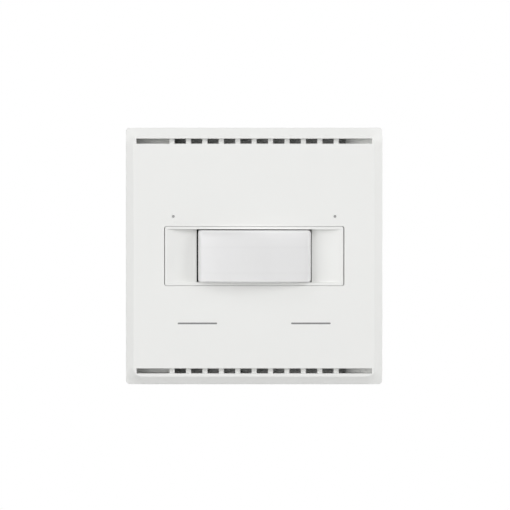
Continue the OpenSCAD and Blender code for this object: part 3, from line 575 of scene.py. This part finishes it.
def on_arch(point, inset, height):
    """Where a point of the arch lies in the frame, in metres."""
    x, z, angle, radius = point
    return Vector((x + (radius - inset) * math.sin(angle) + SETTLE_SIDE,
                   -z - (radius - inset) * math.cos(angle), height - SETTLE_DOWN)) * MM


outer_line, inner_line = arch(*OUTER_STEPS), arch(*INNER_STEPS)
print("points across the lens:", len(outer_line), "outside,", len(inner_line), "inside")

# %% Rows of points from the top of the lens to its bottom
EDGE_STEPS, LENS_ROWS = 12, 96

edge_turns = [math.pi / 2 * i / EDGE_STEPS for i in range(EDGE_STEPS, 0, -1)]
upper_rows, lower_rows = ([(half_height - tall * (1 - math.sin(t)), deep * (1 - math.cos(t)))
                           for t in edge_turns] for tall, deep in LENS_EDGES)
plain_top, plain_bottom = (half_height - tall for tall, _ in LENS_EDGES)
middle_count = LENS_ROWS - 2 * EDGE_STEPS
middle_rows = [(plain_top - (plain_top + plain_bottom) * i / (middle_count - 1), 0.0)
               for i in range(middle_count)]
outer_rows = upper_rows + middle_rows + [(-h, inset) for h, inset in reversed(lower_rows)]
inner_heights = [inner_half - 2 * inner_half * i / (LENS_ROWS - 1) for i in range(LENS_ROWS)]
print("rows of the lens:", len(outer_rows))

# %% Roundings of the outer skin, rings of the inner skin
segment_span = 2 * shoulder_x / SEGMENT_COLUMNS


def skin_inset(point, height, edge_inset):
    """How far the outer skin steps back: the rounded edge in front, the corner at the sides."""
    angle = point[2]
    past = max(abs(height) - (half_height - LENS_CORNER), 0.0)
    corner_inset = LENS_CORNER - math.sqrt(max(LENS_CORNER ** 2 - past ** 2, 0.0))
    return edge_inset * math.cos(angle) + (corner_inset + SIDE_DRAFT) * math.sin(angle) ** 2


def ring_depth(point, height):
    """Depth of the rings and grooves at a place on the inner skin, in millimetres."""
    _, _, angle, radius = point
    if radius != LENS_CURVE:
        return 0.0
    across = math.sin(angle) * (LENS_CURVE - LENS_WALL) + shoulder_x
    column = min(max(int(across / segment_span), 0), SEGMENT_COLUMNS - 1)
    edges = (-inner_half, *ROW_LINES, inner_half)
    row = sum(height > line for line in ROW_LINES)
    aside = across - (column + 0.5) * segment_span
    along = height - (edges[row] + edges[row + 1]) / 2
    to_edge = min(segment_span / 2 - abs(aside), *(abs(height - line) for line in ROW_LINES))
    if to_edge < GROOVE_WIDTH / 2:
        return GROOVE_DEPTH
    return RING_DEPTH * ((math.hypot(aside, along) / RING_PITCH) % 1.0)


verts = [on_arch(p, skin_inset(p, h, inset), h) for h, inset in outer_rows for p in outer_line]
outer_total = len(verts)
verts += [on_arch(p, LENS_WALL - ring_depth(p, h), h) for h in inner_heights for p in inner_line]
print("points of the two skins:", len(verts))

# %% Faces of the shell
wide, fine_wide, last = len(outer_line), len(inner_line), LENS_ROWS - 1


def outer(row, i):
    """Number of a point on the outer skin, from the end of its row where i is negative."""
    return row * wide + i % wide


def inner(row, i):
    """Number of a point on the inner skin, in the same way."""
    return outer_total + row * fine_wide + i % fine_wide


faces = [(outer(r, i), outer(r + 1, i), outer(r + 1, i + 1), outer(r, i + 1))
         for r in range(last) for i in range(wide - 1)]
faces += [tuple(outer(0, i) for i in range(wide)),
          tuple(outer(last, i) for i in reversed(range(wide)))]
smooth_faces = len(faces)
faces += [(inner(r, i), inner(r, i + 1), inner(r + 1, i + 1), inner(r + 1, i))
          for r in range(last) for i in range(fine_wide - 1)]
faces += [tuple(inner(0, i) for i in reversed(range(fine_wide))),
          tuple(inner(last, i) for i in range(fine_wide))]
faces += [(outer(r, 0), inner(r, 0), inner(r + 1, 0), outer(r + 1, 0)) for r in range(last)]
faces += [(outer(r, -1), outer(r + 1, -1), inner(r + 1, -1), inner(r, -1)) for r in range(last)]
faces += [(outer(0, 0), outer(0, -1), inner(0, -1), inner(0, 0)),
          (outer(last, -1), outer(last, 0), inner(last, 0), inner(last, -1))]
print("faces of the shell:", len(faces))

# %% Flange
def frame_ring(hole, size, low, high):
    """A flat rectangular frame round the lens, as vertices and faces."""
    corners = ((-1, -1), (1, -1), (1, 1), (-1, 1))
    loops = []
    for z in (low, high):
        for width, height in (hole, size):
            loops.append(range(len(verts), len(verts) + len(corners)))
            verts.extend(Vector((x * width / 2 + SETTLE_SIDE, -z, y * height / 2 - SETTLE_DOWN))
                         * MM for x, y in corners)
    hole_low, size_low, hole_high, size_high = loops
    for i in range(len(corners)):
        j = (i + 1) % len(corners)
        faces.extend(((hole_low[i], size_low[i], size_low[j], hole_low[j]),
                      (hole_high[i], hole_high[j], size_high[j], size_high[i]),
                      (size_low[i], size_high[i], size_high[j], size_low[j]),
                      (hole_low[i], hole_low[j], hole_high[j], hole_high[i])))


frame_ring((LENS_WIDTH - LENS_WALL, LENS_HEIGHT - LENS_WALL),
           (LENS_WIDTH + 2 * FLANGE_REACH, LENS_HEIGHT + 2 * FLANGE_REACH),
           LENS_FOOT, FLANGE_TOP)
print("faces with the flange:", len(faces))

# %% The lens as a piece
lens_mesh = bpy.data.meshes.new("sensor_lens")
lens_mesh.from_pydata([tuple(v) for v in verts], [], faces)
lens_mesh.polygons.foreach_set("use_smooth", [i < smooth_faces for i in range(len(faces))])
lens_mesh.materials.append(finishes["lens_milk"])
lens = bpy.data.objects.new("sensor_lens", lens_mesh)
scene.collection.objects.link(lens)
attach(lens, "head")
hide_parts("fresnel_lens")

# %% [markdown]
# ## The touch marks
# The two grey lines are paint, wiped into shallow grooves of the face. They could
# be a dark stripe in the cover's material, but a stripe has no thickness and no
# edge. Each is a thin strip with round ends that fills its groove and covers its
# rounded rim, with its surface a little hollow, as paint dries.

# %% Outline of a mark
MARK_X, MARK_Z = 12.15, -14.4        # middle of a mark, in millimetres
MARK_LENGTH, MARK_WIDTH, MARK_DEPTH = 8.4, 0.3, 0.2
END_STEPS = 12


def capsule(length, width):
    """Outline of a line with round ends."""
    reach, radius = (length - width) / 2, width / 2
    right = [(reach + radius * math.cos(a), radius * math.sin(a))
             for a in (math.pi * (i / END_STEPS - 0.5) for i in range(END_STEPS + 1))]
    return right + [(-x, -z) for x, z in right]


print("points round a mark:", len(capsule(MARK_LENGTH, MARK_WIDTH)))

# %% Paint in the grooves
PAINT_LOOK = ((0.215, 0.215, 0.215), 0.6, 0.08, 0.1, 0.004)    # in the order of the plastics
PAINT_WIDTH = 0.36                   # it covers the rounded rim of its groove
RIM_DEPTH = 0.02                     # deeper than this it keeps between the groove's walls
HOLLOW_WIDTH, HOLLOW_DEPTH = 0.6 * MARK_WIDTH, 0.02
PAINT_CLEAR = 0.002                  # keeps it out of the groove's walls
PAINT_RINGS = (                      # width, depth behind the face
    (MARK_WIDTH - PAINT_CLEAR, MARK_DEPTH), (MARK_WIDTH - PAINT_CLEAR, RIM_DEPTH),
    (PAINT_WIDTH, 0.0), (HOLLOW_WIDTH, HOLLOW_DEPTH),
)

finish("mark_grey", moulded_grain, *PAINT_LOOK)
for side, name in ((-1, "touch_mark_left"), (1, "touch_mark_right")):
    strip_verts = []
    for width, below in PAINT_RINGS:
        length = MARK_LENGTH - MARK_WIDTH + width
        strip_verts += [(side * MARK_X * MM + x * MM, face_y + below * MM, (MARK_Z + z) * MM)
                        for x, z in capsule(length, width)]
    n, top = len(strip_verts) // len(PAINT_RINGS), len(PAINT_RINGS) - 1
    strip_faces = [tuple(reversed(range(n)))]
    for ring in range(top):
        strip_faces += [(ring * n + i, ring * n + (i + 1) % n, (ring + 1) * n + (i + 1) % n,
                         (ring + 1) * n + i) for i in range(n)]
    strip_faces.append(tuple(range(top * n, (top + 1) * n)))
    strip = bpy.data.meshes.new(name)
    strip.from_pydata(strip_verts, [], strip_faces)
    strip.materials.append(finishes["mark_grey"])
    mark = bpy.data.objects.new(name, strip)
    scene.collection.objects.link(mark)
    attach(mark, "head")
    print(name, "faces:", len(strip_faces))

# %% [markdown]
# ## The view of colours
# Blender's usual view would turn the whites grey to save the brightest lights. The
# Standard view shows each colour as it is.

scene.view_settings.view_transform = "Standard"
